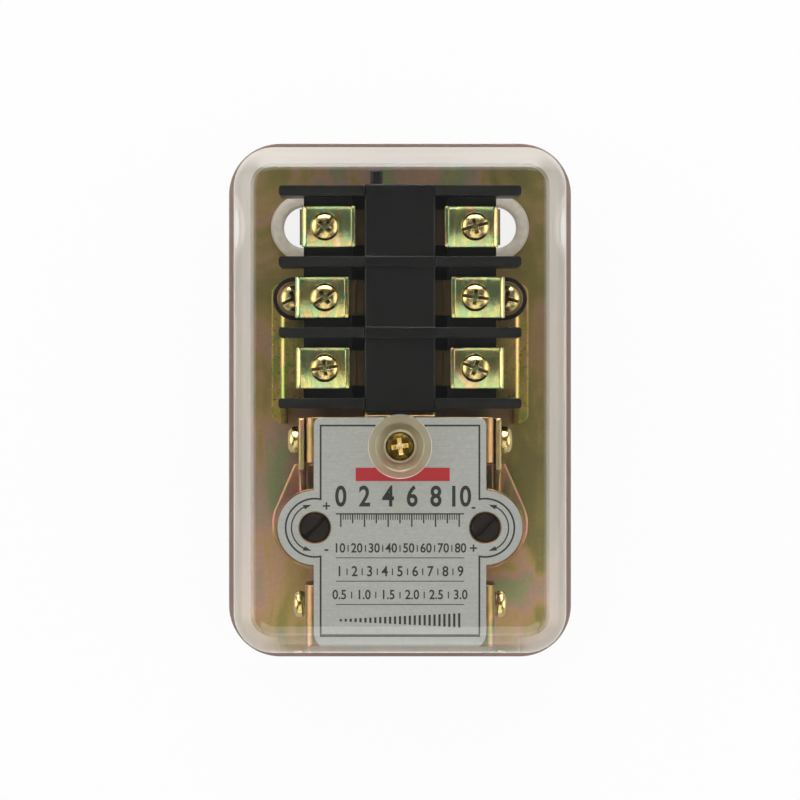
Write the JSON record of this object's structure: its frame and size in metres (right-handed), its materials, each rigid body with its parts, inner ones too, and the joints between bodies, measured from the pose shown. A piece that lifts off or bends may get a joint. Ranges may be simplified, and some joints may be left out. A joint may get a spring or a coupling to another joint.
{
  "type": "pressure switch",
  "caption": "Diaphragm pressure switch with a threaded port, two adjusting screws, a snap-acting contact block and a clear lift-off cover over a shallow metal tray.",
  "frame": {"origin": "centre of the pressure port's mouth, on the hexagon boss under the tray", "axes": "+Z out of the front of the cover, away from the port; +Y from the pressure mechanism to the contact block; +X towards the differential adjuster"},
  "size_m": [0.08, 0.12, 0.0834],
  "materials": {
    "tray_steel": "yellow passivated zinc",
    "zinc_sheet": "bright zinc plated sheet",
    "zinc_screw": "yellow passivated zinc",
    "terminal_metal": "yellow passivated zinc",
    "contact_brass": "bare",
    "black_steel": "black oxide",
    "spring_wire": "drawn",
    "nameplate_metal": "brushed and printed",
    "die_casting": "as cast",
    "black_moulding": "moulded",
    "clear_moulding": "clear moulded plastic",
    "grommet_rubber": "matte",
    "diaphragm_rubber": "matte"
  },
  "bodies": {
    "housing": {"base_tray": "tray_steel", "port_flange": "die_casting", "diaphragm": "diaphragm_rubber", "piston_guide": "die_casting", "stack_screws": "zinc_screw", "stack_nuts": "zinc_screw", "cable_grommet_left": "grommet_rubber", "cable_grommet_right": "grommet_rubber", "support_bracket": "tray_steel", "frame_yoke": "zinc_sheet", "nameplate": "nameplate_metal", "pivot_screws": "zinc_screw", "yoke_screws": "zinc_screw", "yoke_washers": "zinc_screw", "contact_bracket": "tray_steel", "rocker_pin": "zinc_screw", "contact_block": "black_moulding", "chamber_cap": "black_moulding", "block_screws": "zinc_screw", "block_washers": "zinc_screw", "line_contact_1": "contact_brass", "line_contact_2": "contact_brass", "line_contact_3": "contact_brass", "load_contact_1": "contact_brass", "load_contact_2": "contact_brass", "load_contact_3": "contact_brass", "line_clamp_1": "terminal_metal", "line_clamp_2": "terminal_metal", "line_clamp_3": "terminal_metal", "load_clamp_1": "terminal_metal", "load_clamp_2": "terminal_metal", "load_clamp_3": "terminal_metal", "terminal_screws": "zinc_screw", "return_springs": "spring_wire", "pressure_spring": "spring_wire", "differential_spring": "spring_wire", "cover_nut": "zinc_screw"},
    "lever": {"main_lever": "zinc_sheet", "toggle_springs": "spring_wire"},
    "piston": {"piston": "black_moulding"},
    "rocker": {"trip_rocker": "zinc_sheet"},
    "carrier": {"contact_carrier": "black_moulding", "contact_springs": "spring_wire"},
    "bridge_1": {"moving_contact_1": "contact_brass"},
    "bridge_2": {"moving_contact_2": "contact_brass"},
    "bridge_3": {"moving_contact_3": "contact_brass"},
    "pressure_stud": {"pressure_adjuster": "black_steel"},
    "pressure_nut": {"pressure_spring_nut": "tray_steel"},
    "differential_stud": {"differential_adjuster": "black_steel"},
    "differential_nut": {"differential_spring_nut": "tray_steel"},
    "cover": {"cover": "clear_moulding"},
    "cover_fastener": {"cover_screw": "zinc_screw"}
  },
  "joints": [
    {"name": "lever_pivot", "type": "hinge", "parent": "housing", "child": "lever", "pos_m": [0, 0.0195, 0.0624], "axis": [1, 0, 0], "range_deg": [-2.5, 0], "stiffness_Nm_per_rad": 2, "springref_deg": 1.72},
    {"name": "piston_slide", "type": "slide", "parent": "housing", "child": "piston", "axis": [0, 0, 1], "range_m": [0, 0.00085]},
    {"name": "rocker_pivot", "type": "hinge", "parent": "housing", "child": "rocker", "pos_m": [0, 0.038, 0.039], "axis": [1, 0, 0], "range_deg": [-10, 0]},
    {"name": "carrier_slide", "type": "slide", "parent": "housing", "child": "carrier", "axis": [0, 0, 1], "range_m": [-0.0024, 0], "deforming": ["return_springs"]},
    {"name": "bridge_1_float", "type": "slide", "parent": "carrier", "child": "bridge_1", "axis": [0, 0, 1], "range_m": [0, 0.00072], "deforming": ["contact_springs"]},
    {"name": "bridge_2_float", "type": "slide", "parent": "carrier", "child": "bridge_2", "axis": [0, 0, 1], "range_m": [0, 0.00072]},
    {"name": "bridge_3_float", "type": "slide", "parent": "carrier", "child": "bridge_3", "axis": [0, 0, 1], "range_m": [0, 0.00072]},
    {"name": "pressure_adjuster_turn", "type": "hinge", "parent": "housing", "child": "pressure_stud", "pos_m": [-0.019, 0, 0.0705], "axis": [0, 0, 1], "range_deg": [-2700, 0]},
    {"name": "pressure_nut_slide", "type": "slide", "parent": "housing", "child": "pressure_nut", "axis": [0, 0, 1], "range_m": [-0.006, 0], "deforming": ["pressure_spring"]},
    {"name": "differential_adjuster_turn", "type": "hinge", "parent": "housing", "child": "differential_stud", "pos_m": [0.019, 0, 0.0705], "axis": [0, 0, 1], "range_deg": [-2700, 0]},
    {"name": "differential_nut_slide", "type": "slide", "parent": "housing", "child": "differential_nut", "axis": [0, 0, 1], "range_m": [-0.006, 0], "deforming": ["differential_spring"]},
    {"name": "cover_lift", "type": "slide", "parent": "housing", "child": "cover", "axis": [0, 0, 1], "range_m": [0, 0.07]},
    {"name": "cover_screw_turn", "type": "hinge", "parent": "cover", "child": "cover_fastener", "pos_m": [0, 0.0182, 0.0736], "axis": [0, 0, 1], "continuous": true}
  ],
  "couplings": [
    {"joint": "lever_pivot", "follows": "piston_slide", "rad_per_m": -51.282},
    {"joint": "rocker_pivot", "follows": "piston_slide", "rad_per_m": -205.08},
    {"joint": "carrier_slide", "follows": "piston_slide", "ratio": -2.8205},
    {"joint": "bridge_1_float", "follows": "piston_slide", "ratio": 0.84615},
    {"joint": "bridge_2_float", "follows": "piston_slide", "ratio": 0.84615},
    {"joint": "bridge_3_float", "follows": "piston_slide", "ratio": 0.84615},
    {"joint": "pressure_adjuster_turn", "follows": "pressure_nut_slide", "rad_per_m": 7854},
    {"joint": "differential_adjuster_turn", "follows": "differential_nut_slide", "rad_per_m": 7854}
  ]
}
